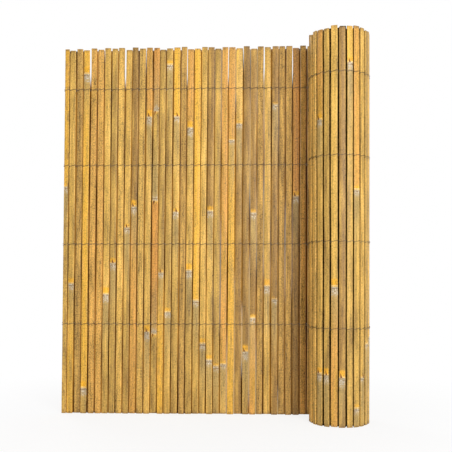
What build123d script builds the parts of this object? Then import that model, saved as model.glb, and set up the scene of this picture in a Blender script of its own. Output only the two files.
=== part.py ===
# Split bamboo fence, part unrolled: a flat panel of upright slats, with the rest of the length still
# wound up as a roll at its right-hand end. Millimetres, Z up, floor at Z = 0, front of the panel towards -Y.
import os
from math import asin, cos, degrees, pi, radians, sin, tan
from random import Random

from build123d import *

# Slats: strips split lengthwise from a bamboo cane, each a narrow sector of it pared flat on the inside
HEIGHT = 1000.0  # floor to the top of the longest slat
SLAT_WIDTH = 16.2  # usual width across the skin
CANE_RADIUS = 50.0  # outside of the cane
SLAT_DEPTH = 5.4  # from the crown of the skin to the flat inside
RING_RISE = 0.9  # how proud of the skin a joint of the cane stands
RING_LENGTH = 12.0  # length of slat that a joint takes up
SLAT_GAP = 3.0  # usual gap between two slats
TIGHT_GAP = 0.3  # gap left at the inner edges of the slats wound up tight
TOP_SPREAD = 7.0  # most that a slat stops short of the top
FOOT_SPREAD = 2.0  # most that a slat stops short of the floor
PANEL_LEAN = 0.65  # degrees that the slats lean along the panel, none at the roll

# Counts: the panel's slats, and the roll's in each turn from the outside in
PANEL_SLATS = 39
TURN_SLATS = (25, 24, 21, 18, 15, 10)

# Roll and binding wires
CORE_RADIUS = 29.0  # open middle of the roll, to the middle of the innermost slat
TURN_SLACK = 0.5  # room between the wires of two turns
WIRE = 1.2  # thickness of one strand
WIRE_ROWS = (0.245, 0.463, 0.678, 0.886)  # heights as shares of HEIGHT
WIRE_SEAT = 0.05  # clearance between a strand and what it passes
WIRE_CLIMB = 1.4  # from the middle of a row, up at one side of a slat and down at the other

# Joints of the cane, as shares of HEIGHT, on the panel slats that face the front with their skin
PANEL_RINGS = {
    1: (0.62,),
    2: (0.355,),
    4: (0.07, 0.93),
    7: (0.327,),
    8: (0.411,),
    10: (0.508,),
    11: (0.566,),
    13: (0.223, 0.81),
    14: (0.219, 0.582, 0.826),
    15: (0.385,),
    16: (0.278, 0.952),
    17: (0.55, 0.81),
    19: (0.391, 0.779),
    20: (0.309,),
    21: (0.192,),
    22: (0.148, 0.553),
    23: (0.13,),
    24: (0.136,),
    25: (0.745,),
    26: (0.789,),
    27: (0.17,),
    28: (0.262, 0.547),
    30: (0.349,),
    31: (0.312, 0.84),
    34: (0.592,),
}

# The same on the outer turn's slats that face outwards with their skin, counted from the panel
ROLL_RINGS = {
    2: (0.33,),
    5: (0.16,),
    8: (0.222,),
    9: (0.205,),
    10: (0.122,),
    11: (0.047, 0.592),
    12: (0.907,),
    13: (0.124,),
    14: (0.351,),
    15: (0.129,),
    16: (0.132, 0.77),
    21: (0.36,),
    24: (0.81,),
}

os.makedirs("parts", exist_ok=True)
chance = Random(41)
slat_count = PANEL_SLATS + sum(TURN_SLATS)
wired_count = PANEL_SLATS + TURN_SLATS[0]


def split_angle(width):
    """Angle of the cane, in radians, that a slat of this width takes up."""
    return 2 * asin(width / (2 * CANE_RADIUS))


def edge_depth(width):
    """How far the edges of a slat's skin lie from the middle of its depth."""
    return SLAT_DEPTH / 2 - CANE_RADIUS * (1 - cos(split_angle(width) / 2))


# Each slat's width, ends, joints and facing: +1 with its skin to the panel's front, which is the roll's inside
widths, feet, tops, rings, facings = [], [], [], [], []
for slat in range(slat_count):
    turn_place = slat - PANEL_SLATS + 1
    on_panel = turn_place < 1
    hidden = slat >= wired_count
    widths.append(SLAT_WIDTH * (0.74 if slat == 0 else chance.uniform(0.95, 1.05)))
    stands = slat % 3 == 0 or chance.random() < 0.2
    feet.append(0.0 if stands else chance.uniform(0.1, 1.0) * FOOT_SPREAD)
    tops.append(HEIGHT - TOP_SPREAD * (0.0 if slat == 17 else chance.random()))
    seen = PANEL_RINGS.get(slat + 1) if on_panel else ROLL_RINGS.get(turn_place)
    unseen = (chance.choice((0.1, 0.57)) + chance.uniform(-0.06, 0.06),) if slat % 4 == 2 else ()
    rings.append(() if hidden else seen or unseen)
    facings.append(1 if hidden or on_panel == (seen is not None) else -1)

# The gap on each slat's left, and the step from one turn of the roll to the next
wire_room = WIRE + 2 * WIRE_SEAT
gaps = [wire_room + (SLAT_GAP - wire_room) * chance.uniform(0.5, 1.5) for slat in range(slat_count + 1)]
turn_step = SLAT_DEPTH + 2 * (WIRE + WIRE_SEAT) + TURN_SLACK

# The sheet is a chain: slats between bends at the middle of each gap. The roll is wound from its core out,
# and its inner turns are drawn up until the slats bear on the wires or nearly on each other's inner edges
bends = {slat_count: (CORE_RADIUS, 0.0)}
radius = CORE_RADIUS
swept = 0.0
for slat in reversed(range(PANEL_SLATS, slat_count)):
    closing = 2 * edge_depth(widths[slat]) * tan(asin(widths[slat] / (2 * radius)))
    if slat >= wired_count:
        gaps[slat] = max(wire_room, TIGHT_GAP + closing)
    else:
        gaps[slat] = max(gaps[slat], wire_room + closing)
    pitch = widths[slat] + (gaps[slat] + gaps[slat + 1]) / 2
    bend_angle = 2 * asin(pitch / (2 * radius))
    swept += bend_angle
    radius += turn_step * bend_angle / (2 * pi)
    bends[slat] = (radius, swept)

# The panel leaves the roll at its back. The whole is centred on the origin
panel_length = sum(widths[:PANEL_SLATS]) + sum(gaps[:PANEL_SLATS]) + gaps[PANEL_SLATS] / 2 - gaps[0] / 2
half_depth = SLAT_DEPTH / 2 + WIRE + WIRE_SEAT
lean_reach = tan(radians(PANEL_LEAN)) * HEIGHT / 2
roll_x = (panel_length + lean_reach - radius - half_depth) / 2
roll_y = -turn_step / 4
points = []
for slat in range(slat_count + 1):
    if slat < PANEL_SLATS:
        left = sum(widths[slat:PANEL_SLATS]) + sum(gaps[slat + 1 : PANEL_SLATS])
        left += (gaps[slat] + gaps[PANEL_SLATS]) / 2
        points.append(Vector(roll_x - left, roll_y + radius))
    else:
        bend_radius, bend_swept = bends[slat]
        turned = pi / 2 - (swept - bend_swept)
        points.append(Vector(roll_x + bend_radius * cos(turned), roll_y + bend_radius * sin(turned)))

# Where each slat runs along the sheet, where its front faces, and how far it leans
runs = [(points[slat + 1] - points[slat]).normalized() for slat in range(slat_count)]
fronts = [Vector(run.Y, -run.X) for run in runs]
leans = []
for slat in range(slat_count):
    share = (PANEL_SLATS - slat) / (0.65 * PANEL_SLATS)
    leans.append(radians(PANEL_LEAN) * min(1.0, max(0.0, share)))


def split_slat(slat):
    """One slat: half the cane's upright section, joints and all, turned through the split angle and pared."""
    angle = split_angle(widths[slat])
    skin = fronts[slat] * facings[slat]
    middle = points[slat] + runs[slat] * (gaps[slat] + widths[slat]) / 2
    axis_foot = middle + skin * (SLAT_DEPTH / 2 - CANE_RADIUS)
    up = Vector(0, 0, cos(leans[slat])) + runs[slat] * sin(leans[slat])
    cane = Axis((axis_foot.X, axis_foot.Y, HEIGHT / 2), up)
    start = skin * cos(angle / 2) - up.cross(skin) * sin(angle / 2)
    low = (feet[slat] - HEIGHT / 2 + sin(leans[slat]) * widths[slat] / 2) / cos(leans[slat])
    high = (tops[slat] - HEIGHT / 2 - sin(leans[slat]) * widths[slat] / 2) / cos(leans[slat])
    outside = [(CANE_RADIUS, low)]
    for share in rings[slat]:
        ring = (share - 0.5) * HEIGHT
        outside.append((CANE_RADIUS, ring - RING_LENGTH / 2))
        outside.append((CANE_RADIUS + RING_RISE, ring))
        outside.append((CANE_RADIUS, ring + RING_LENGTH / 2))
    outside.append((CANE_RADIUS, high))
    inside = Plane(cane.position + skin * (CANE_RADIUS - SLAT_DEPTH), x_dir=up, z_dir=skin)
    with BuildPart() as strip:
        with BuildSketch(Plane(cane.position, x_dir=start, z_dir=start.cross(up))):
            with BuildLine():
                Polyline((CANE_RADIUS / 2, low), *outside, (CANE_RADIUS / 2, high), close=True)
            make_face()
        revolve(axis=cane, revolution_arc=degrees(angle))
        split(bisect_by=inside, keep=Keep.TOP)
    return strip.part


def plain_slat(slat):
    """A slat of the hidden turns: flat faces between the same edges, and no joints."""
    skin_edge = edge_depth(widths[slat])
    inner_half = (CANE_RADIUS - SLAT_DEPTH) * tan(split_angle(widths[slat]) / 2)
    middle = points[slat] + runs[slat] * (gaps[slat] + widths[slat]) / 2
    section = Plane((middle.X, middle.Y, feet[slat]), x_dir=runs[slat], z_dir=(0, 0, 1))
    with BuildPart() as strip:
        with BuildSketch(section):
            with BuildLine():
                Polyline(
                    (-widths[slat] / 2, -skin_edge),
                    (widths[slat] / 2, -skin_edge),
                    (inner_half, SLAT_DEPTH / 2),
                    (-inner_half, SLAT_DEPTH / 2),
                    close=True,
                )
            make_face()
        extrude(amount=tops[slat] - feet[slat])
    return strip.part


# Panel: every slat is a piece of its own, numbered from the free end
for slat in range(PANEL_SLATS):
    panel_slat = split_slat(slat)
    panel_slat.label = f"slat_{slat + 1:02d}"
    export_step(panel_slat, f"parts/{panel_slat.label}.step")

# Roll: one group of loose slats for each turn, numbered from the outside
first = PANEL_SLATS
for turn, turn_count in enumerate(TURN_SLATS, 1):
    form = split_slat if turn == 1 else plain_slat
    strips = [form(slat) for slat in range(first, first + turn_count)]
    first += turn_count
    with BuildPart() as roll_turn:
        add(strips)
    roll_turn.part.label = f"roll_turn_{turn}"
    export_step(roll_turn.part, f"parts/{roll_turn.part.label}.step")


def strand_route(height, phase):
    """Corners of one strand: along a slat's front, through the gap, along the next one's back, and so on."""
    corners = []
    for slat in range(wired_count):
        side = 1 if (slat + phase) % 2 == 0 else -1
        reach = SLAT_DEPTH / 2 + WIRE_SEAT + WIRE / 2
        for bend, level in ((slat, -side * WIRE_CLIMB), (slat + 1, side * WIRE_CLIMB)):
            before = max(bend - 1, 0)
            mitre = (fronts[before] + fronts[bend]) / (1 + fronts[before].dot(fronts[bend]))
            lean = (tan(leans[before]) + tan(leans[bend])) / 2 * (height - HEIGHT / 2)
            corner = points[bend] + runs[slat] * lean + mitre * side * reach
            if not corners:
                hook = points[0] + runs[0] * lean - mitre * side * reach * 0.6
                corners.append((hook.X, hook.Y, height + level))
            corners.append((corner.X, corner.Y, height + level))
    return corners


# Binding wires: a pair of strands in each row, twined round each other in every gap, ends hooked round slat 1
for row, share in enumerate(WIRE_ROWS, 1):
    for phase, strand_name in enumerate("ab"):
        with BuildPart() as strand:
            with BuildLine() as route:
                Polyline(*strand_route(share * HEIGHT, phase))
            with BuildSketch(Plane(route.line @ 0, z_dir=route.line % 0)):
                RegularPolygon(radius=WIRE / 2, side_count=4)
            sweep(path=route.wire(), transition=Transition.RIGHT)
        strand.part.label = f"binding_wire_{row}{strand_name}"
        export_step(strand.part, f"parts/{strand.part.label}.step")
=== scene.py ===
import bpy
import numpy as np
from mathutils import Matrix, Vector


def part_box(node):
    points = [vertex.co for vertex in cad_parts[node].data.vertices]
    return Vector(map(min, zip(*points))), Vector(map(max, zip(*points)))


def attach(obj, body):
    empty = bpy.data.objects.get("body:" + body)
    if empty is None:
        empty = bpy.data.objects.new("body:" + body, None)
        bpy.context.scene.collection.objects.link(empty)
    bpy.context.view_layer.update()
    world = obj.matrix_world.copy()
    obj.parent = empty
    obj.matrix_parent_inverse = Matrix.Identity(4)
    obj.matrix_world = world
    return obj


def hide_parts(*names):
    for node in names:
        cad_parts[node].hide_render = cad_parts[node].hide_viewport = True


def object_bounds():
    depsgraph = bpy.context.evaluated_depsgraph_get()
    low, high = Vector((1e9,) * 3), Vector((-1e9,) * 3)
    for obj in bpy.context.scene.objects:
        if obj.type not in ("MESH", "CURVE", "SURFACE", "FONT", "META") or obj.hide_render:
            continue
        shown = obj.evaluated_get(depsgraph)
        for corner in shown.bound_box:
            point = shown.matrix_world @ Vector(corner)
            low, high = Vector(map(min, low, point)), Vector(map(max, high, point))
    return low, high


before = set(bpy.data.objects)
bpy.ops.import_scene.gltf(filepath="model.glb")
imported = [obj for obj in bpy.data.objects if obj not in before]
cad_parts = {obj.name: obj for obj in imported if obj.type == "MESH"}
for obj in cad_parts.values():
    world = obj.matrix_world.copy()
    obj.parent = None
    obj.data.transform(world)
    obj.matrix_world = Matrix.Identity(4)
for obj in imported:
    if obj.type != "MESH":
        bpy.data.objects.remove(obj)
cad_low, cad_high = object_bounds()

# Panel slats: strips about 16 mm wide and a metre long, split lengthwise from bamboo canes and stood side by
# side. One face keeps the cane's rounded skin with its joints, and the other is pared flat.
# The knife leaves the edges fibrous, and both ends are sawn off square.


def solids_of(node):
    """Corner points of each loose solid in a CAD node: corners at one place are one point, and each point
    takes the lowest label of the triangles it is in, until no label changes."""
    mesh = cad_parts[node].data
    mesh.calc_loop_triangles()
    places = np.empty(len(mesh.vertices) * 3, np.float32)
    mesh.vertices.foreach_get("co", places)
    corners = np.empty(len(mesh.loop_triangles) * 3, np.int32)
    mesh.loop_triangles.foreach_get("vertices", corners)
    points, same = np.unique(np.round(places.reshape(-1, 3).astype(float), 6), axis=0, return_inverse=True)
    triangles = same.ravel()[corners].reshape(-1, 3)
    solid = np.arange(len(points))
    while True:
        lowest = solid.copy()
        np.minimum.at(lowest, triangles, solid[triangles].min(1, keepdims=True))
        if (lowest == solid).all():
            break
        solid = lowest
    return [points[solid == label] for label in np.unique(solid)]


END_ZONE = 0.002  # corners this near an end are on the end's face
JOINT_CLEAR = 0.004  # every joint is further than this from the ends
LEVEL_GAP = 0.001  # levels of corners are further apart than this


def slat_lay(points):
    """How a slat stands, from its corners: the end faces' centres give the way up, the longer spread of the
    lower face the way across, and its widest corners lie by the skin. A joint is three levels of corners."""
    low = points[points[:, 2] < points[:, 2].min() + END_ZONE]
    high = points[points[:, 2] > points[:, 2].max() - END_ZONE]
    foot = low.mean(0)
    up = high.mean(0) - foot
    length = np.linalg.norm(up)
    up /= length
    across = np.linalg.eigh((low - foot).T @ (low - foot))[1][:, 2]
    across -= up * (across @ up)
    across /= np.linalg.norm(across)
    skin = np.cross(up, across)
    side, depth = (low - foot) @ across, (low - foot) @ skin
    widest = depth[np.abs(side).argmax()]
    if depth.max() - widest > widest - depth.min():
        across, skin, side, depth = -across, -skin, -side, -depth
    levels = np.sort((points - foot) @ up)
    levels = levels[(levels > JOINT_CLEAR) & (levels < length - JOINT_CLEAR)]
    levels = np.split(levels, np.flatnonzero(np.diff(levels) > LEVEL_GAP) + 1) if len(levels) else []
    return {
        "foot": foot + skin * depth.min(),
        "up": up,
        "across": across,
        "skin": skin,
        "length": length,
        "half": np.abs(side).max(),
        "depth": np.ptp(depth),
        "joints": np.array([level.mean() for level in levels[1::3]]),
    }


CANE_RADIUS = 0.05  # gives the skin its crown
SKIN_SHARE, BEVEL_SHARE, INSIDE_SHARE = 0.965, 0.885, 0.83  # where the faces end, as shares of half the width
SKIN_POINTS, INSIDE_POINTS = 9, 5
PLAIN_SKIN_POINTS, PLAIN_INSIDE_POINTS = 5, 3
BEVEL = 0.0006  # between a face and a split side
HOLLOW = 0.00035  # of the pared inside
NO_JOINT = 0.4  # stands for the distance to a joint where there is none
# A joint's bell curves: the swelling, its lip and the groove, each as height, place over the middle and width
JOINT_BELLS = ((0.00075, 0.001, 0.0034), (0.0004, -0.0044, 0.0008), (-0.0003, -0.0066, 0.0012))
SIDE_SWELL = 0.35  # share of a joint's swelling on the split sides
EDGE_FALL = 0.4  # share of it that the skin loses towards its edges
# Heights of the rows of points: evenly spaced ones, and more by the ends and round each joint
EVEN_ROWS = 34
END_ROWS = np.array([0.003, 0.007, 0.014])
BELOW_JOINT = [-30, -20, -14, -10, -8, -7, -6, -5, -4.4, -4, -3, -2, -1]
ABOVE_JOINT = [0, 1, 2, 3, 4.5, 6, 8, 11, 15, 22, 32]
JOINT_ROWS = np.array(BELOW_JOINT + ABOVE_JOINT) * 0.001
# Wavering of an edge, four sines: radians a metre, their spread and their sizes
EDGE_PACES, PACE_SPREAD = np.array([9, 23, 61, 140]), (0.8, 1.3)
EDGE_SIZES = np.array([0.00010, 0.00007, 0.00005, 0.00003])
FULL_TURN = 6.28  # a sine may start anywhere in it
TOP_WIRE, FOOT_WIRE = 0.886, 0.245  # beyond these heights a slat's ends are free
TOP_LEAN, FOOT_LEAN = 0.0009, 0.0006  # sideways
TOP_BOW, FOOT_BOW = 0.001, 0.0006  # outwards or inwards
SNAKE_SIZE, SNAKE_PACES = 0.00035, (5, 11)  # slow sideways wander of the whole slat
EDGE_IN, EDGE_OUT = 0.0002, 0.0004  # how far inside and outside the solid's edge a slat's may lie
EDGE_LIMIT = 0.0003  # and no point of it further out than this
GRAIN_ASIDE, GRAIN_UP = 0.07, 0.31  # a slat's grain is moved on by these from the one before it
TONE_FADE = 0.02  # length over which one tone goes over into the next
WORN_FROM, WORN_OVER = 0.7, 0.2  # the skin may be worn off from this share of half the width, over this share
BUD_CHANCE = 0.45
BUD_SIDE, NO_BUD = 0.45, 9.0  # a bud's place in shares of half the width, and one far off the slat for none
BLOOM_DEPTHS = (0.005, 0.018)  # depth of the wax bloom under a joint
SHADES = (0.92, 1.06)  # lightness of one slat against another


def slat_surface(lay, tones, seed, upside_down=False, speck=0.3, play=1.0, plain=False, spare=0.0, painted_light=1.0):
    """A closed section carried up the slat. The section goes over the crown, a parabola, down the split side,
    along the hollowed inside and back up. Going up, the edges waver by sines, the free ends bow out by a square
    law, and at each joint the skin rises in a bell curve with a sharp lip and a groove under it. Spare is how
    much more the knife may have taken off an edge, play scales all that strays from the solid, and a plain slat
    is straight, with a row of points at each end only. Speck is how mouldy it is, and the last argument darkens
    all but its sawn ends as painted shade where it is under 1."""
    dice = np.random.default_rng(seed)
    length, half, depth, joints = lay["length"], lay["half"], lay["depth"], lay["joints"]
    crown = half**2 / (2 * CANE_RADIUS)
    # Section, anticlockwise from above: skin, left side, inside, right side
    over = np.linspace(SKIN_SHARE, -SKIN_SHARE, PLAIN_SKIN_POINTS if plain else SKIN_POINTS)
    under = np.linspace(-INSIDE_SHARE, INSIDE_SHARE, PLAIN_INSIDE_POINTS if plain else INSIDE_POINTS)
    share = np.concatenate([over, [-1.0, -BEVEL_SHARE], under, [BEVEL_SHARE, 1.0]])
    rise = np.concatenate(
        [
            depth - crown * over**2,
            [depth - crown - BEVEL, BEVEL],
            HOLLOW * (1 - under**2),
            [BEVEL, depth - crown - BEVEL],
        ]
    )
    ring = len(share)
    on_skin = np.concatenate([np.ones(len(over)), np.zeros(ring - len(over))])
    if plain:
        height = np.array([0.0, length])
    else:
        height = [np.linspace(0, length, EVEN_ROWS), END_ROWS, length - END_ROWS]
        height = np.concatenate(height + [joint + JOINT_ROWS for joint in joints])
        height = np.unique(np.clip(np.round(height, 5), 0, round(length, 5)))
    rows = len(height)
    grows = -1.0 if upside_down else 1.0
    above, below = np.full(rows, NO_JOINT), np.full(rows, NO_JOINT)
    bell = np.zeros(rows)
    for joint in joints:
        off = (height - joint) * grows
        above = np.where(off >= 0, np.minimum(above, off), above)
        below = np.where(off < 0, np.minimum(below, -off), below)
        for bell_height, middle, width in JOINT_BELLS:
            bell += bell_height * np.exp(-(((off - middle) / width) ** 2))
    edge_wave = np.zeros((2, rows))
    lean, bow = np.zeros(rows), np.zeros(rows)
    if not plain:
        for edge in range(2):
            phase = dice.uniform(0, FULL_TURN, len(EDGE_PACES))
            pace = dice.uniform(*PACE_SPREAD, len(EDGE_PACES)) * EDGE_PACES
            edge_wave[edge] = (EDGE_SIZES[:, None] * np.sin(pace[:, None] * height + phase[:, None])).sum(0)
        top_end = np.clip((height - TOP_WIRE) / (1 - TOP_WIRE), 0, 1) ** 2
        foot_end = np.clip((FOOT_WIRE - height) / FOOT_WIRE, 0, 1) ** 2
        lean = top_end * dice.uniform(-TOP_LEAN, TOP_LEAN) + foot_end * dice.uniform(-FOOT_LEAN, FOOT_LEAN)
        lean += SNAKE_SIZE * np.sin(dice.uniform(*SNAKE_PACES) * height + dice.uniform(0, FULL_TURN))
        bow = top_end * dice.uniform(-TOP_BOW, TOP_BOW) + foot_end * dice.uniform(-FOOT_BOW, FOOT_BOW)
        lean, bow = lean * play, bow * play
    trim = dice.uniform(-EDGE_IN - spare, EDGE_OUT, 2) * play
    left = half + trim[0] + edge_wave[0] + bell * SIDE_SWELL
    right = half + trim[1] + edge_wave[1] + bell * SIDE_SWELL
    reach = np.where(share[None, :] < 0, left[:, None], right[:, None])
    sideways = share[None, :] * np.minimum(reach, half + EDGE_LIMIT * play) + lean[:, None]
    swelling = on_skin * (1 - EDGE_FALL * share**2)
    outwards = rise[None, :] + bow[:, None] + bell[:, None] * swelling[None, :]
    body = (
        lay["foot"]
        + height[:, None, None] * lay["up"]
        + sideways[..., None] * lay["across"]
        + outwards[..., None] * lay["skin"]
    )
    body[..., 2] = np.clip(body[..., 2], cad_low.z, cad_high.z)
    points = np.concatenate([body.reshape(-1, 3), body[0], body[-1]])
    row, col = np.mgrid[0 : rows - 1, 0:ring]
    after = (col + 1) % ring
    this_row, next_row = row * ring, (row + 1) * ring
    quads = np.stack([this_row + col, this_row + after, next_row + after, next_row + col], -1)
    foot_cap = rows * ring + np.arange(ring)[::-1]
    top_cap = (rows + 1) * ring + np.arange(ring)
    faces = quads.reshape(-1, 4).tolist() + [foot_cap.tolist(), top_cap.tolist()]
    # Lengths round the section and up the slat, so that the grain follows it, moved on for each slat
    steps = np.hypot(np.diff(share * half, append=share[:1] * half), np.diff(rise, append=rise[:1]))
    aside, lift = GRAIN_ASIDE * seed, GRAIN_UP * seed
    round_it = np.concatenate([[0], np.cumsum(steps)]) + aside
    grain_u = np.stack([round_it[col], round_it[col + 1], round_it[col + 1], round_it[col]], -1)
    grain_v = np.stack([height[row], height[row], height[row + 1], height[row + 1]], -1) + lift
    cap_u, cap_v = share * half + aside, rise + lift
    grain = np.concatenate(
        [
            np.stack([grain_u, grain_v], -1).reshape(-1, 2),
            np.stack([cap_u[::-1], cap_v[::-1]], -1),
            np.stack([cap_u, cap_v], -1),
        ]
    )
    # Tone of each length between joints, and the last one again where letters are short of lengths
    spans = np.array([TONES[letter] for letter in tones])
    spans = np.concatenate([spans, np.repeat(spans[-1:], max(0, len(joints) + 1 - len(spans)))])
    tone = np.full(rows, spans[0])
    for joint, step in zip(joints, np.diff(spans)):
        tone = tone + step * np.clip((height - joint) / TONE_FADE + 0.5, 0, 1)
    every = np.ones(ring)
    worn = np.where(share < 0, dice.random(), dice.random())
    worn = worn * np.clip((np.abs(share) - WORN_FROM) / WORN_OVER, 0, 1)
    bud = dice.uniform(-BUD_SIDE, BUD_SIDE) if dice.random() < BUD_CHANCE else NO_BUD
    bloom = dice.uniform(*BLOOM_DEPTHS)
    # The slat's own lightness at random, times the painted shade it is given
    shade = dice.uniform(*SHADES) * painted_light

    def filled(values, caps=0.0):
        """One value for each point: the body's own, and the same one all over both sawn ends."""
        return np.concatenate([values.ravel(), np.full(2 * ring, caps)])

    marks = {
        "tone": filled(tone[:, None] * every, tone[-1]),
        "above_joint": filled(above[:, None] * every, NO_JOINT),
        "below_joint": filled(below[:, None] * every, NO_JOINT),
        "skin": filled(np.ones(rows)[:, None] * on_skin * (1 - worn)),
        "across": filled(np.ones(rows)[:, None] * share),
        "sawn": filled(np.zeros((rows, ring)), 1.0),
        "from_end": filled(np.minimum(height, length - height)[:, None] * every),
        "speck": filled(np.full((rows, ring), speck), speck),
        "bud": filled(np.full((rows, ring), bud), bud),
        "bloom": filled(np.full((rows, ring), bloom), bloom),
        "shade": filled(np.full((rows, ring), shade), 1.0),
    }
    return points, faces, grain, marks


def slat_object(name, surfaces):
    """One object from several slats' surfaces: their points, faces, grain and marks, one after the other."""
    starts = np.cumsum([0] + [len(points) for points, faces, grain, marks in surfaces])
    points = np.concatenate([surface[0] for surface in surfaces])
    faces = [
        [corner + start for corner in face] for start, surface in zip(starts, surfaces) for face in surface[1]
    ]
    mesh = bpy.data.meshes.new(name)
    mesh.from_pydata(points.tolist(), [], faces)
    grain = np.concatenate([surface[2] for surface in surfaces])
    mesh.uv_layers.new(name="grain").data.foreach_set("uv", grain.astype(np.float32).ravel())
    for mark in surfaces[0][3]:
        values = np.concatenate([surface[3][mark] for surface in surfaces])
        mesh.attributes.new(mark, "FLOAT", "POINT").data.foreach_set("value", values.astype(np.float32))
    mesh.shade_smooth()
    made = bpy.data.objects.new(name, mesh)
    bpy.context.scene.collection.objects.link(made)
    return made


def srgb(red, green, blue):
    """A colour as a screen shows it, 0 to 255, turned into the linear values that shaders take."""
    shown = np.array([red, green, blue]) / 255
    linear = np.where(shown < 0.04045, shown / 12.92, ((shown + 0.055) / 1.055) ** 2.4)
    return (*linear.tolist(), 1.0)


def put(tree, kind, inputs, **settings):
    """A new node: settings are its own fields, and each input is a plain value or another node's output."""
    node = tree.nodes.new(kind)
    for field, value in settings.items():
        setattr(node, field, value)
    for socket, value in inputs.items():
        if isinstance(value, bpy.types.NodeSocket):
            tree.links.new(value, node.inputs[socket])
        else:
            node.inputs[socket].default_value = value
    return node


def reckon(tree, operation, first, second=0.0, third=0.0):
    """One sum on two or three values."""
    return put(tree, "ShaderNodeMath", {0: first, 1: second, 2: third}, operation=operation).outputs[0]


def between(tree, value, low, high):
    """0 where the value is low, 1 where it is high, and an eased step between."""
    return put(
        tree,
        "ShaderNodeMapRange",
        {"Value": value, "From Min": low, "From Max": high},
        interpolation_type="SMOOTHSTEP",
    ).outputs["Result"]


def lay_colour(tree, share, under, over, blend="MIX"):
    """One colour laid over another by a share from 0 to 1, both for the thing's own marks and for painted light
    and shade.
    """
    node = put(tree, "ShaderNodeMix", {0: share, 6: under, 7: over}, data_type="RGBA", blend_type=blend)
    return node.outputs[2]


def noise(tree, where, scale, detail=2.0, roughness=0.5):
    """Soft noise from 0 to 1 at a place that is already stretched to size."""
    return put(
        tree, "ShaderNodeTexNoise", {"Vector": where, "Scale": scale, "Detail": detail, "Roughness": roughness}
    ).outputs["Fac"]


# Bamboo grain: noise drawn out along the fibres, from hair-fine streaks to broad bands, and round blotches.
# Each has the length of one wave across and along the fibres, then the noise's detail and roughness
GRAIN_WAVES = {
    "Hairs": (0.0005, 0.035, 3.0, 0.6),
    "Streaks": (0.0032, 0.11, 3.0, 0.6),
    "Bands": (0.012, 0.13, 2.0, 0.55),
    "Blotches": (0.0075, 0.019, 4.0, 0.66),
    "Dots": (0.0026, 0.0042, 2.0, 0.55),
}
grain_group = bpy.data.node_groups.new("bamboo_grain", "ShaderNodeTree")
grain_group.interface.new_socket("Grain Map", in_out="INPUT", socket_type="NodeSocketVector")
for output in GRAIN_WAVES:
    grain_group.interface.new_socket(output, in_out="OUTPUT", socket_type="NodeSocketFloat")
grain_in = grain_group.nodes.new("NodeGroupInput")
grain_out = grain_group.nodes.new("NodeGroupOutput")


def drawn_out(across, along):
    """The grain map with its two directions scaled to one wave per given length, in metres."""
    return put(
        grain_group,
        "ShaderNodeMapping",
        {"Vector": grain_in.outputs["Grain Map"], "Scale": (1 / across, 1 / along, 1)},
    ).outputs["Vector"]


for output, (wave_across, wave_along, detail, roughness) in GRAIN_WAVES.items():
    waves = noise(grain_group, drawn_out(wave_across, wave_along), 1.0, detail, roughness)
    grain_group.links.new(waves, grain_out.inputs[output])

# Bamboo: the dried skin goes from brown through khaki to gold. Above a joint it is ripe yellow, the joint's scar
# is dark, and a grey bloom of wax hangs under it. The pared inside and the split edges are more fibrous
TONES = {"b": 0.0, "k": 0.17, "s": 0.34, "p": 0.5, "g": 0.67, "t": 0.84, "a": 1.0}
TONE_COLOURS = {
    "b": srgb(156, 118, 56),
    "k": srgb(187, 149, 72),
    "s": srgb(207, 164, 77),
    "p": srgb(219, 175, 91),
    "g": srgb(224, 171, 58),
    "t": srgb(205, 153, 73),
    "a": srgb(207, 145, 64),
}
MIDDLE = 0.5  # of all the grain's noises
BAND_SHIFT = 0.5  # how far the grain's bands move a slat's tone
split_bamboo = bpy.data.materials.new("split_bamboo")
split_bamboo.use_nodes = True
bamboo = split_bamboo.node_tree
bamboo.nodes.clear()
grain = put(bamboo, "ShaderNodeGroup", {}, node_tree=grain_group)
bamboo.links.new(put(bamboo, "ShaderNodeUVMap", {}, uv_map="grain").outputs["UV"], grain.inputs["Grain Map"])
mark = {
    name: put(bamboo, "ShaderNodeAttribute", {}, attribute_name=name).outputs["Fac"]
    for name in "tone above_joint below_joint skin across sawn from_end speck bud bloom shade".split()
}
band_light = reckon(bamboo, "SUBTRACT", grain.outputs["Bands"], MIDDLE)
shifted_tone = reckon(bamboo, "MULTIPLY_ADD", band_light, BAND_SHIFT, mark["tone"])
tone_ramp = put(bamboo, "ShaderNodeValToRGB", {"Fac": shifted_tone})
while len(tone_ramp.color_ramp.elements) < len(TONES):
    tone_ramp.color_ramp.elements.new(0.5)
for element, letter in zip(tone_ramp.color_ramp.elements, TONES):
    element.position = TONES[letter]
    element.color = TONE_COLOURS[letter]
PARED_WOOD, PARED_SHARE = srgb(206, 163, 84), 0.4
pared = reckon(bamboo, "MULTIPLY_ADD", mark["skin"], -PARED_SHARE, PARED_SHARE)
colour = lay_colour(bamboo, pared, tone_ramp.outputs["Color"], PARED_WOOD)
# Round a joint: ripe skin over it, a pale painted highlight along its lip, on some a bud's dark scar that leans
# to one side, and below it a ragged grey bloom of wax that fades into dull skin. The deeper a slat's bloom is,
# the riper is its skin.
# A reach is where an effect ends and where it is full, in metres from the joint. Patches, dots and flecks begin
# at the first of their two levels of noise and are full at the second
PATCHES, DARK_DOTS, WAX_FLECKS = (0.35, 0.62), (0.58, 0.68), (0.38, 0.56)
DULL_SKIN, DULL_REACH, DULL_SHARE = srgb(170, 145, 90), (0.2, 0.0), 0.7
RIPE_SKIN, RIPE_REACH, RIPE_SHARE = srgb(238, 174, 36), (0.005, -0.003), 0.85
RIPE_BLOOMS = (0.002, 0.014)
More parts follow.
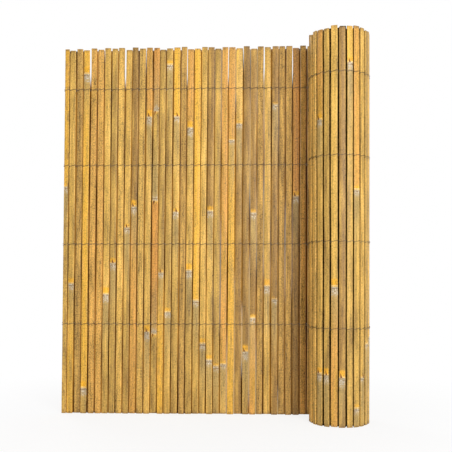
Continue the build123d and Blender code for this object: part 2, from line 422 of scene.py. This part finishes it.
# Colour of the painted highlight on a joint's lip, how far above the joint it reaches and how strong it is
LIP_HIGHLIGHT, LIP_HIGHLIGHT_REACH, LIP_HIGHLIGHT_SHARE = srgb(246, 216, 156), (0.004, 0.0018), 0.6
WAX_PALE, WAX_GREY, WAX_DOTS = srgb(246, 232, 206), srgb(156, 136, 102), srgb(84, 64, 42)
WAX_REACH, WAX_SHARE = (0.01, -0.004), 0.85
WAX_RAGGED, WAX_FRAYED = 0.03, 0.024  # how far blotches and dots move the bloom's lower edge
SCAR_BROWN, SCAR_UNDER, SCAR_OVER = srgb(112, 80, 46), (0.0068, 0.0054), (0.0036, 0.0048)
BUD_BROWN, BUD_REACH, BUD_EASE = srgb(112, 58, 16), (0.014, 0.011), (0.06, -0.06)
BUD_FOOT, BUD_TAPER, BUD_LEAN = 0.34, -26.0, 28.0  # in half widths of the slat, the last two for each metre
patchy = between(bamboo, grain.outputs["Blotches"], *PATCHES)
dotted = between(bamboo, grain.outputs["Dots"], *DARK_DOTS)
dull = reckon(bamboo, "MULTIPLY", between(bamboo, mark["below_joint"], *DULL_REACH), DULL_SHARE)
colour = lay_colour(bamboo, reckon(bamboo, "MULTIPLY", dull, mark["skin"]), colour, DULL_SKIN)
past_ripe = reckon(bamboo, "SUBTRACT", mark["above_joint"], mark["bloom"])
ripeness = reckon(bamboo, "MULTIPLY", between(bamboo, mark["bloom"], *RIPE_BLOOMS), RIPE_SHARE)
ripe = reckon(bamboo, "MULTIPLY", between(bamboo, past_ripe, *RIPE_REACH), ripeness)
colour = lay_colour(bamboo, reckon(bamboo, "MULTIPLY", ripe, mark["skin"]), colour, RIPE_SKIN)
# Painted highlight just over the joint, on the skin
lip_highlight = reckon(bamboo, "MULTIPLY", between(bamboo, mark["above_joint"], *LIP_HIGHLIGHT_REACH), LIP_HIGHLIGHT_SHARE)
colour = lay_colour(bamboo, reckon(bamboo, "MULTIPLY", lip_highlight, mark["skin"]), colour, LIP_HIGHLIGHT)
ragged_light = reckon(bamboo, "SUBTRACT", grain.outputs["Blotches"], MIDDLE)
fleck_light = reckon(bamboo, "SUBTRACT", grain.outputs["Dots"], MIDDLE)
ragged = reckon(bamboo, "MULTIPLY_ADD", ragged_light, WAX_RAGGED, mark["below_joint"])
ragged = reckon(bamboo, "MULTIPLY_ADD", fleck_light, WAX_FRAYED, ragged)
wax = between(bamboo, reckon(bamboo, "SUBTRACT", ragged, mark["bloom"]), *WAX_REACH)
wax = reckon(bamboo, "MULTIPLY", wax, mark["skin"])
flecked = between(bamboo, grain.outputs["Dots"], *WAX_FLECKS)
wax_colour = lay_colour(bamboo, flecked, WAX_PALE, WAX_GREY)
wax_colour = lay_colour(bamboo, dotted, wax_colour, WAX_DOTS)
colour = lay_colour(bamboo, reckon(bamboo, "MULTIPLY", wax, WAX_SHARE), colour, wax_colour)
scar_under = between(bamboo, mark["below_joint"], *SCAR_UNDER)
scar = reckon(bamboo, "MULTIPLY", scar_under, between(bamboo, mark["below_joint"], *SCAR_OVER))
colour = lay_colour(bamboo, reckon(bamboo, "MULTIPLY", scar, patchy), colour, SCAR_BROWN)
bud_width = reckon(bamboo, "MULTIPLY_ADD", mark["above_joint"], BUD_TAPER, BUD_FOOT)
bud_middle = reckon(bamboo, "MULTIPLY_ADD", mark["above_joint"], BUD_LEAN, mark["bud"])
bud_off = reckon(bamboo, "ABSOLUTE", reckon(bamboo, "SUBTRACT", mark["across"], bud_middle))
bud_scar = between(bamboo, reckon(bamboo, "SUBTRACT", bud_off, bud_width), *BUD_EASE)
bud_scar = reckon(bamboo, "MULTIPLY", bud_scar, between(bamboo, mark["above_joint"], *BUD_REACH))
colour = lay_colour(bamboo, reckon(bamboo, "MULTIPLY", bud_scar, mark["skin"]), colour, BUD_BROWN)
# Blotches and dark dots of old mould, on some slats more than on others
MOULD_BLOTCH, BLOTCH_SHARE, BLOTCH_LEVELS = srgb(140, 106, 54), 0.7, (0.47, 0.62)
MOULD_DOT, DOT_SHARE = srgb(88, 60, 30), 0.75
blotch = between(bamboo, grain.outputs["Blotches"], *BLOTCH_LEVELS)
blotch = reckon(bamboo, "MULTIPLY", blotch, mark["speck"])
colour = lay_colour(bamboo, reckon(bamboo, "MULTIPLY", blotch, BLOTCH_SHARE), colour, MOULD_BLOTCH)
dot = reckon(bamboo, "MULTIPLY", reckon(bamboo, "MULTIPLY", dotted, patchy), mark["speck"])
colour = lay_colour(bamboo, reckon(bamboo, "MULTIPLY", dot, DOT_SHARE), colour, MOULD_DOT)
# Weather gets into the sawn ends and darkens the last few millimetres
WEATHERED, WEATHER_REACH, WEATHER_SHARE = srgb(118, 88, 52), (0.009, 0.0), 0.5
WEATHER_RAGGED = 0.02
weather = reckon(bamboo, "MULTIPLY_ADD", ragged_light, WEATHER_RAGGED, mark["from_end"])
weather = reckon(bamboo, "MULTIPLY", between(bamboo, weather, *WEATHER_REACH), WEATHER_SHARE)
colour = lay_colour(bamboo, weather, colour, WEATHERED)
# Fibres: darker and lighter lines and flecks, stronger on the pared faces than through the skin
FIBRE_WEIGHTS = {"Streaks": 1.5, "Hairs": 0.4, "Blotches": 1.5, "Dots": 2.3, "Bands": 1.4}
SKIN_CALM = 0.25  # how much weaker they are on the skin
fibre = 0.0
for output, weight in FIBRE_WEIGHTS.items():
    grain_light = reckon(bamboo, "SUBTRACT", grain.outputs[output], MIDDLE)
    fibre = reckon(bamboo, "MULTIPLY_ADD", grain_light, weight, fibre)
strength = reckon(bamboo, "MULTIPLY_ADD", mark["skin"], -SKIN_CALM, 1.0)
# The slat's lightness, with any painted shade in it, is added here, and the whole scales the colour
fibre = reckon(bamboo, "MULTIPLY_ADD", fibre, strength, mark["shade"])
fibre_grey = put(bamboo, "ShaderNodeCombineColor", {"Red": fibre, "Green": fibre, "Blue": fibre})
colour = lay_colour(bamboo, 1.0, colour, fibre_grey.outputs["Color"], "MULTIPLY")
# Sawn ends: pale wood full of dark pores
SAWN_WOOD, SAWN_PORE, PORE_LEVELS = srgb(222, 190, 138), srgb(150, 112, 66), (0.55, 0.66)
pore = between(bamboo, grain.outputs["Dots"], *PORE_LEVELS)
colour = lay_colour(bamboo, mark["sawn"], colour, lay_colour(bamboo, pore, SAWN_WOOD, SAWN_PORE))
# Gloss: the skin is smoother than the pared wood, and streaks make it uneven
PARED_ROUGH, SKIN_SMOOTH, STREAK_ROUGH = 0.58, 0.2, 0.16
SKIN_SHINE = 0.35
rough = reckon(bamboo, "MULTIPLY_ADD", mark["skin"], -SKIN_SMOOTH, PARED_ROUGH)
rough = reckon(bamboo, "MULTIPLY_ADD", grain.outputs["Streaks"], STREAK_ROUGH, rough)
HAIR_RELIEF, BUMP_STRENGTH, BUMP_DEPTH = 0.5, 0.55, 0.0004
lines = reckon(bamboo, "MULTIPLY_ADD", grain.outputs["Hairs"], HAIR_RELIEF, grain.outputs["Streaks"])
lines = reckon(bamboo, "MULTIPLY", lines, strength)
fibre_bump = put(
    bamboo, "ShaderNodeBump", {"Height": lines, "Strength": BUMP_STRENGTH, "Distance": BUMP_DEPTH}
)
bamboo_shader = put(
    bamboo,
    "ShaderNodeBsdfPrincipled",
    {
        "Base Color": colour,
        "Roughness": rough,
        "Normal": fibre_bump.outputs["Normal"],
        "Specular IOR Level": SKIN_SHINE,
    },
)
put(bamboo, "ShaderNodeOutputMaterial", {"Surface": bamboo_shader.outputs["BSDF"]})

# Tones of each slat from the foot up, one letter for each length between joints, and how mouldy the worst are,
# which are counted from 0 at the left. One slat stands on its cane's upper end. The first keeps to its solid,
# because it is the fence's outer edge
# The brown tones of slats 30 to 33, next to the roll, are partly painted shade from the roll
PANEL_TONES = (
    "sg gs b ggg t t ks kk s ks tb k pst kaka gk skk ksg b kst kg "
    "ks ssb kk st gt bp kb tbb b ss bbb b b ba t s kt s k"
).split()
PANEL_SPECKS = {0: 1.0, 1: 0.5, 7: 0.8, 9: 0.6, 12: 0.5, 14: 0.7, 15: 0.5, 22: 0.6, 26: 0.5, 29: 0.5}
OTHER_SPECK = 0.25
UPSIDE_DOWN = "slat_14"
panel_lays = []
for count, tones in enumerate(PANEL_TONES):
    node = f"slat_{count + 1:02d}"
    lay = slat_lay(solids_of(node)[0])
    panel_lays.append(lay)
    speck = PANEL_SPECKS.get(count, OTHER_SPECK)
    surface = slat_surface(lay, tones, count + 1, node == UPSIDE_DOWN, speck, play=float(count > 0))
    slat = slat_object(f"split_{node}", [surface])
    slat.data.materials.append(split_bamboo)
    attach(slat, "root")
    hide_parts(node)

# Roll, outer turn: the same split bamboo slats carried on round the outside of the roll, skin mostly outwards,
# and bound by the same wires. They show on every side of it, so they are finished as the panel's are.
# The paler tones on the roll's left side are partly painted light there
TURN_TONES = "s k t s g k p k s kkt kg b ts k kst pp p t s s k t g k s".split()
TURN_SPECK, TURN_SPARE, TURN_SEED = 0.22, 0.0011, 60
LATE_ANGLE, LATE_RADIUS = 0.5, 0.075  # a slat short of this angle and nearer in than this is one of the last
turn_lays = [slat_lay(points) for points in solids_of("roll_turn_1")]
turn_middle = np.mean([lay["foot"] for lay in turn_lays], 0)


def turned(lay):
    """Angle round the roll, clockwise from the back, where the panel comes in. The turn's last slats lie a
    step further in behind its first, and so count as past a whole turn."""
    arm = (lay["foot"] - turn_middle)[:2]
    angle = np.arctan2(arm[0], arm[1]) % (2 * np.pi)
    late = angle < LATE_ANGLE and np.hypot(*arm) < LATE_RADIUS
    return angle + 2 * np.pi * late


turn_lays.sort(key=turned)
turn_surfaces = [
    slat_surface(lay, tones, TURN_SEED + count, speck=TURN_SPECK, spare=TURN_SPARE)
    for count, (lay, tones) in enumerate(zip(turn_lays, TURN_TONES))
]
outer_turn = slat_object("roll_outer_turn", turn_surfaces)
outer_turn.data.materials.append(split_bamboo)
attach(outer_turn, "root")
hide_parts("roll_turn_1")

# Roll, inner turns: the rest of the length wound up inside, of which only the ends show, from above and below.
# The slats are the same stock, kept plain where nothing sees them, and all but their sawn ends are painted a
# little darker as shade. The second turn is what shows in the gaps of the first, so all but its sawn ends are
# painted dark as deep shade, and it has no gloss.
INNER_TURNS, SHADED_TURN = range(2, 7), 2
INNER_TONES, TONE_STEP = "sktgkstpkb", 3
INNER_SEED = 100
# Share of the colour that the painted shade leaves: deep on the second turn, slight on the others
SHADED_PAINTED_LIGHT, INNER_PAINTED_LIGHT = 0.12, 0.8
shaded_bamboo = split_bamboo.copy()
shaded_bamboo.name = "shaded_bamboo"
shaded_bamboo.node_tree.nodes[bamboo_shader.name].inputs["Specular IOR Level"].default_value = 0.0
for turn in INNER_TURNS:
    inner_lays = [slat_lay(points) for points in solids_of(f"roll_turn_{turn}")]
    painted_light = SHADED_PAINTED_LIGHT if turn == SHADED_TURN else INNER_PAINTED_LIGHT
    letters = [INNER_TONES[(TONE_STEP * count + turn) % len(INNER_TONES)] for count in range(len(inner_lays))]
    inner_surfaces = [
        slat_surface(lay, letter, INNER_SEED * turn + count, plain=True, painted_light=painted_light)
        for count, (lay, letter) in enumerate(zip(inner_lays, letters))
    ]
    inner_turn = slat_object(f"roll_inner_turn_{turn}", inner_surfaces)
    inner_turn.data.materials.append(shaded_bamboo if turn == SHADED_TURN else split_bamboo)
    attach(inner_turn, "root")
    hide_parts(f"roll_turn_{turn}")

# Binding wires: four rows, each of two strands of thin annealed steel wire, dull grey-brown with some rust, and
# painted darker than bare steel as shade for the strands' own thin shadows. One strand passes in front of a slat
# while the other passes behind it, and they change places in every gap.
WIRE_ROWS, ROW_SEED = range(1, 5), 10
STRAND = 0.0007  # radius
STRAND_SIDES = 7
STRAND_SINK = 0.00015  # how far a strand bites into a slat
STRAND_CLIMB = 0.0023  # how far it slants up over a front and down behind a back
STRAND_JITTER = 0.00025
STRAND_PIECES = 14  # points of its line for each slat
STRAND_START = -0.58  # where its line starts, in slats from the middle of the first
STRAND_END = 0.0009  # how far it reaches past the outermost edges
GAP_DWELL = 0.95  # how nearly it stops in each gap
SWING_FLAT = 4  # how flat its swing from front to back is
sheet_lays = panel_lays + turn_lays
wired = len(sheet_lays)


def strand_line(height, phase, seed):
    """Middle line of one strand. It runs along the sheet with a dwell in each gap, swings from front to back as
    a flattened cosine that turns over once a slat, and climbs over each front and drops behind each back by a
    sine."""
    dice = np.random.default_rng(seed)
    feet = np.array([lay["foot"] for lay in sheet_lays])
    ups = np.array([lay["up"] for lay in sheet_lays])
    skins = np.array([lay["skin"] for lay in sheet_lays])
    depths = np.array([lay["depth"] for lay in sheet_lays])
    halves = np.array([lay["half"] for lay in sheet_lays])
    middles = feet + ups * (height / ups[:, 2:]) + skins * depths[:, None] / 2
    middles[:, 2] = height
    ways = np.array([lay["across"] for lay in sheet_lays])
    ahead = np.gradient(middles, axis=0)
    ways = ways * np.sign((ways * ahead).sum(1))[:, None]
    ways[:, 2] = 0
    ways /= np.linalg.norm(ways, axis=1)[:, None]
    fronts = np.stack([ways[:, 1], -ways[:, 0], np.zeros(wired)], 1)
    lefts, rights = middles - ways * halves[:, None], middles + ways * halves[:, None]
    gaps = (rights[:-1] + lefts[1:]) / 2
    gap_fronts = fronts[:-1] + fronts[1:]
    gap_fronts /= (1 + (fronts[:-1] * fronts[1:]).sum(1))[:, None]
    places, facing = np.empty((2 * wired + 1, 3)), np.empty((2 * wired + 1, 3))
    places[1::2], facing[1::2] = middles, fronts
    places[2:-1:2], facing[2:-1:2] = gaps, gap_fronts
    places[0], facing[0] = lefts[0] - ways[0] * STRAND_END, fronts[0]
    places[-1], facing[-1] = rights[-1] + ways[-1] * STRAND_END, fronts[-1]
    marks = np.arange(2 * wired + 1) / 2 - 0.5
    along = np.linspace(STRAND_START, wired - 0.5, STRAND_PIECES * wired)
    at = along + GAP_DWELL / (2 * np.pi) * np.sin(2 * np.pi * along)
    swing = np.tanh(SWING_FLAT * np.cos(np.pi * (along + phase))) / np.tanh(SWING_FLAT)
    reach = (depths.max() / 2 + STRAND - STRAND_SINK) * swing
    jitter = np.interp(along, np.arange(wired), dice.normal(0, STRAND_JITTER, wired))
    line = np.empty((len(along), 3))
    for axis in range(3):
        line[:, axis] = np.interp(at, marks, places[:, axis]) + reach * np.interp(at, marks, facing[:, axis])
    line[:, 2] += STRAND_CLIMB * np.sin(np.pi * (along + phase)) + jitter
    return line


def wire_object(name, line, radius, sides):
    """A circle carried along a line. Its frame at each point is the line's direction, the level direction
    square to that, and the one square to both."""
    ahead = np.gradient(line, axis=0)
    ahead /= np.linalg.norm(ahead, axis=1)[:, None]
    level = np.cross(ahead, [0, 0, 1.0])
    level /= np.linalg.norm(level, axis=1)[:, None]
    upright = np.cross(level, ahead)
    angle = np.linspace(0, 2 * np.pi, sides, endpoint=False)
    rim = np.cos(angle)[None, :, None] * level[:, None] + np.sin(angle)[None, :, None] * upright[:, None]
    points = (line[:, None] + radius * rim).reshape(-1, 3)
    row, col = np.mgrid[0 : len(line) - 1, 0:sides]
    after = (col + 1) % sides
    this_ring, next_ring = row * sides, (row + 1) * sides
    quads = np.stack([this_ring + col, next_ring + col, next_ring + after, this_ring + after], -1)
    ends = [np.arange(sides).tolist(), (np.arange(sides)[::-1] + (len(line) - 1) * sides).tolist()]
    mesh = bpy.data.meshes.new(name)
    mesh.from_pydata(points.tolist(), [], quads.reshape(-1, 4).tolist() + ends)
    mesh.shade_smooth()
    made = bpy.data.objects.new(name, mesh)
    bpy.context.scene.collection.objects.link(made)
    return made


# The steel is painted darker than bare wire, as shade for the strands' own thin shadows; the rust is its own
SHADED_STEEL, RUST = srgb(116, 102, 84), srgb(84, 62, 40)
STEEL_ROUGH, RUST_ROUGHER, STEEL_METAL = 0.36, 0.25, 0.8
RUST_SCALE, RUST_DETAIL, RUST_LEVELS = 140.0, 3.0, (0.4, 0.65)
annealed_steel = bpy.data.materials.new("annealed_steel")
annealed_steel.use_nodes = True
steel = annealed_steel.node_tree
steel.nodes.clear()
steel_place = put(steel, "ShaderNodeTexCoord", {}).outputs["Object"]
rusting = between(steel, noise(steel, steel_place, RUST_SCALE, RUST_DETAIL), *RUST_LEVELS)
steel_colour = lay_colour(steel, rusting, SHADED_STEEL, RUST)
steel_rough = reckon(steel, "MULTIPLY_ADD", rusting, RUST_ROUGHER, STEEL_ROUGH)
steel_shader = put(
    steel,
    "ShaderNodeBsdfPrincipled",
    {"Base Color": steel_colour, "Roughness": steel_rough, "Metallic": STEEL_METAL},
)
put(steel, "ShaderNodeOutputMaterial", {"Surface": steel_shader.outputs["BSDF"]})
for row in WIRE_ROWS:
    for phase, strand in enumerate("ab"):
        node = f"binding_wire_{row}{strand}"
        low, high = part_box(node)
        line = strand_line((low.z + high.z) / 2, phase, ROW_SEED * row + phase)
        wire = wire_object(f"twined_wire_{row}{strand}", line, STRAND, STRAND_SIDES)
        wire.data.materials.append(annealed_steel)
        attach(wire, "root")
        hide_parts(node)

# Floor: a white studio floor, painted matt, on which the fence stands. A camera sees it nearly white, and it
# keeps a soft shadow round the fence's foot.
FLOOR_REACH = 9
FLOOR_WHITE = (0.95, 0.95, 0.95, 1)
FLOOR_NEAR, FLOOR_FAR = 0.3, 1.1  # the shadow fades out between these distances from the middle
FLOOR_GLOW = 0.82  # share of plain white near the fence, and all of it further off


def stage_sheet(name, corners):
    """One flat sheet from its four corners, with an empty material."""
    mesh = bpy.data.meshes.new(name)
    mesh.from_pydata(corners, [], [(0, 1, 2, 3)])
    made = bpy.data.objects.new(name, mesh)
    bpy.context.scene.collection.objects.link(made)
    paint = bpy.data.materials.new(name)
    paint.use_nodes = True
    paint.node_tree.nodes.clear()
    made.data.materials.append(paint)
    return paint.node_tree


floor_corners = [(x * FLOOR_REACH, y * FLOOR_REACH, 0) for x, y in ((-1, -1), (1, -1), (1, 1), (-1, 1))]
white_floor = stage_sheet("floor", floor_corners)
floor_paint = put(white_floor, "ShaderNodeBsdfDiffuse", {"Color": FLOOR_WHITE}).outputs["BSDF"]
floor_glow = put(white_floor, "ShaderNodeEmission", {"Color": (1, 1, 1, 1)}).outputs["Emission"]
floor_path = put(white_floor, "ShaderNodeLightPath", {}).outputs
floor_seen = reckon(white_floor, "MAXIMUM", floor_path["Is Camera Ray"], floor_path["Is Transmission Ray"])
floor_seen = reckon(white_floor, "MAXIMUM", floor_seen, floor_path["Is Glossy Ray"])
floor_place = put(white_floor, "ShaderNodeTexCoord", {}).outputs["Object"]
floor_off = put(white_floor, "ShaderNodeVectorMath", {0: floor_place}, operation="LENGTH").outputs["Value"]
floor_share = between(white_floor, floor_off, FLOOR_NEAR, FLOOR_FAR)
floor_share = reckon(white_floor, "MULTIPLY_ADD", floor_share, 1 - FLOOR_GLOW, FLOOR_GLOW)
floor_share = reckon(white_floor, "MULTIPLY", floor_seen, floor_share)
floor_mixed = put(white_floor, "ShaderNodeMixShader", {0: floor_share, 1: floor_paint, 2: floor_glow})
put(white_floor, "ShaderNodeOutputMaterial", {"Surface": floor_mixed.outputs["Shader"]})

# Board: a brown board close behind the panel whose colour is painted shade, so that the gaps look dark. Its
# brown goes darker and lighter in patches along it as uneven painted shade, and it is painted darkest in the
# corner by the roll as the shade there. It is notched along its top, and cracks near there let light through,
# tinted warm as painted warm light. It is there for a camera in front of it only.
BOARD_GAP, BOARD_HEIGHT = 0.002, 0.994
# Colours of the painted shade: deep, light, and in the corner by the roll
BOARD_DEEP_SHADE, BOARD_LIGHT_SHADE, BOARD_CORNER_SHADE = srgb(92, 58, 18), srgb(192, 144, 66), srgb(66, 32, 2)
SHADE_PATCH_SCALE, SHADE_PATCH_LEVELS = 57.0, (0.35, 0.65)
BOARD_DRAWN = 0.08  # stains and cracks go up the board with this share of their pace along it
CORNER_FROM, CORNER_FULL = 0.15, 0.1  # distances to the roll's middle
CORNER_SHADE_SHARE = 0.8
NOTCH_SCALE, NOTCH_LEVELS = 40.0, (0.57, 0.64)
NOTCH_DEPTH, BOARD_EDGE = 0.1, (1.03, 0.985)  # the board fades out between the last two heights
CRACK_SCALE, CRACK_LEVELS = 31.0, (0.5, 0.62)
CRACKED_FROM, CRACKED_FULL = -0.02, 0.06  # places along the panel
CRACK_SHARE = 0.5
CLEAR, WARM_LIGHT = srgb(255, 255, 255), srgb(255, 220, 160)
board_y = cad_high.y + BOARD_GAP
board_left = panel_lays[0]["foot"][0]
board_lean = panel_lays[0]["up"][0] * panel_lays[0]["length"]
board_right = turn_middle[0]
board_corners = [
    (board_left, board_y, 0),
    (board_right, board_y, 0),
    (board_right, board_y, BOARD_HEIGHT),
    (board_left + board_lean, board_y, BOARD_HEIGHT),
]
board = stage_sheet("board", board_corners)
board_seen = put(board, "ShaderNodeLightPath", {}).outputs["Is Camera Ray"]
board_behind = put(board, "ShaderNodeNewGeometry", {}).outputs["Backfacing"]
board_place = put(board, "ShaderNodeTexCoord", {}).outputs["Object"]
board_axes = put(board, "ShaderNodeSeparateXYZ", {"Vector": board_place}).outputs
board_along = put(board, "ShaderNodeCombineXYZ", {"X": board_axes["X"]}).outputs["Vector"]
board_slow = reckon(board, "MULTIPLY", board_axes["Z"], BOARD_DRAWN)
board_where = put(board, "ShaderNodeCombineXYZ", {"X": board_axes["X"], "Z": board_slow}).outputs["Vector"]
# Painted shade in the gaps, uneven in patches along the board
board_shade_patches = between(board, noise(board, board_where, SHADE_PATCH_SCALE, 0.0), *SHADE_PATCH_LEVELS)
board_shade_colour = lay_colour(board, board_shade_patches, BOARD_DEEP_SHADE, BOARD_LIGHT_SHADE)
# Painted shade, darkest in the corner by the roll
board_corner_shade = between(board, board_axes["X"], board_right - CORNER_FROM, board_right - CORNER_FULL)
board_shade_colour = lay_colour(board, reckon(board, "MULTIPLY", board_corner_shade, CORNER_SHADE_SHARE), board_shade_colour, BOARD_CORNER_SHADE)
board_painted_shade = put(board, "ShaderNodeBsdfDiffuse", {"Color": board_shade_colour}).outputs["BSDF"]
board_notch = between(board, noise(board, board_along, NOTCH_SCALE, 0.0), *NOTCH_LEVELS)
board_edge = reckon(board, "MULTIPLY_ADD", board_notch, NOTCH_DEPTH, board_axes["Z"])
board_share = reckon(board, "MULTIPLY", board_seen, reckon(board, "SUBTRACT", 1.0, board_behind))
board_share = reckon(board, "MULTIPLY", board_share, between(board, board_edge, *BOARD_EDGE))
board_crack = between(board, noise(board, board_where, CRACK_SCALE, 0.0), *CRACK_LEVELS)
board_cracked = between(board, board_axes["X"], CRACKED_FROM, CRACKED_FULL)
board_crack = reckon(board, "MULTIPLY", board_crack, board_cracked)
board_crack = reckon(board, "MULTIPLY", board_crack, reckon(board, "SUBTRACT", 1.0, board_corner_shade))
# The light through the cracks is tinted warm: painted warm light
board_light = lay_colour(board, reckon(board, "MULTIPLY", board_share, board_crack), CLEAR, WARM_LIGHT)
board_clear = put(board, "ShaderNodeBsdfTransparent", {"Color": board_light}).outputs["BSDF"]
board_whole = reckon(board, "MULTIPLY_ADD", board_crack, -CRACK_SHARE, 1.0)
board_share = reckon(board, "MULTIPLY", board_share, board_whole)
board_mixed = put(board, "ShaderNodeMixShader", {0: board_share, 1: board_clear, 2: board_painted_shade})
put(board, "ShaderNodeOutputMaterial", {"Surface": board_mixed.outputs["Shader"]})

# Light: an even white room, a large soft lamp to the right in front, which leaves the panel's end by the roll
# in shade, and a weaker one behind to the left for the back. A lamp has its place and its power in watts.
ROOM_LIGHT = 0.55
LAMPS = {"key_lamp": ((1.4, -2.9, 1.2), 75.0), "back_lamp": ((-2.0, 2.6, 2.0), 32.0)}
LAMP_SIZE = 1.6
LAMP_AIM = Vector((0, 0, 0.5))
scene = bpy.context.scene
scene.view_settings.view_transform = "Standard"
room = bpy.data.worlds.new("room")
room.use_nodes = True
scene.world = room
sky = room.node_tree
sky.nodes.clear()
path = put(sky, "ShaderNodeLightPath", {})
seen = reckon(sky, "MAXIMUM", path.outputs["Is Camera Ray"], path.outputs["Is Transmission Ray"])
seen = reckon(sky, "MAXIMUM", seen, path.outputs["Is Glossy Ray"])
room_strength = reckon(sky, "MULTIPLY_ADD", seen, 1 - ROOM_LIGHT, ROOM_LIGHT)
white_room = put(sky, "ShaderNodeBackground", {"Color": (1, 1, 1, 1), "Strength": room_strength})
put(sky, "ShaderNodeOutputWorld", {"Surface": white_room.outputs["Background"]})
for name, (place, power) in LAMPS.items():
    lamp = bpy.data.lights.new(name, "AREA")
    lamp.shape = "DISK"
    lamp.size = LAMP_SIZE
    lamp.energy = power
    lamp_stand = bpy.data.objects.new(name, lamp)
    scene.collection.objects.link(lamp_stand)
    lamp_stand.location = place
    lamp_stand.rotation_euler = (LAMP_AIM - Vector(place)).to_track_quat("-Z", "Y").to_euler()

# Camera: level, at knee height in front of the panel's right half, with the frame moved up to take in the top.
# Its place and its focal length, in pixels of the photograph's frame, are fitted to the fence's outline.
FOCAL_PIXELS, FRAME_PIXELS = 689.6, 452
SENSOR = 36.0
FRAME_UP = 0.1057  # share of the frame
CAMERA_PLACE = (0.1107, -1.7976, 0.382)
CAMERA_TURN = 0.0387  # to the left of straight on
camera = bpy.data.cameras.new("camera")
camera.sensor_width = SENSOR
camera.lens = FOCAL_PIXELS / FRAME_PIXELS * SENSOR
camera.shift_y = FRAME_UP
camera_stand = bpy.data.objects.new("camera", camera)
scene.collection.objects.link(camera_stand)
camera_stand.location = CAMERA_PLACE
camera_stand.rotation_euler = (np.pi / 2, 0.0, CAMERA_TURN)
scene.camera = camera_stand
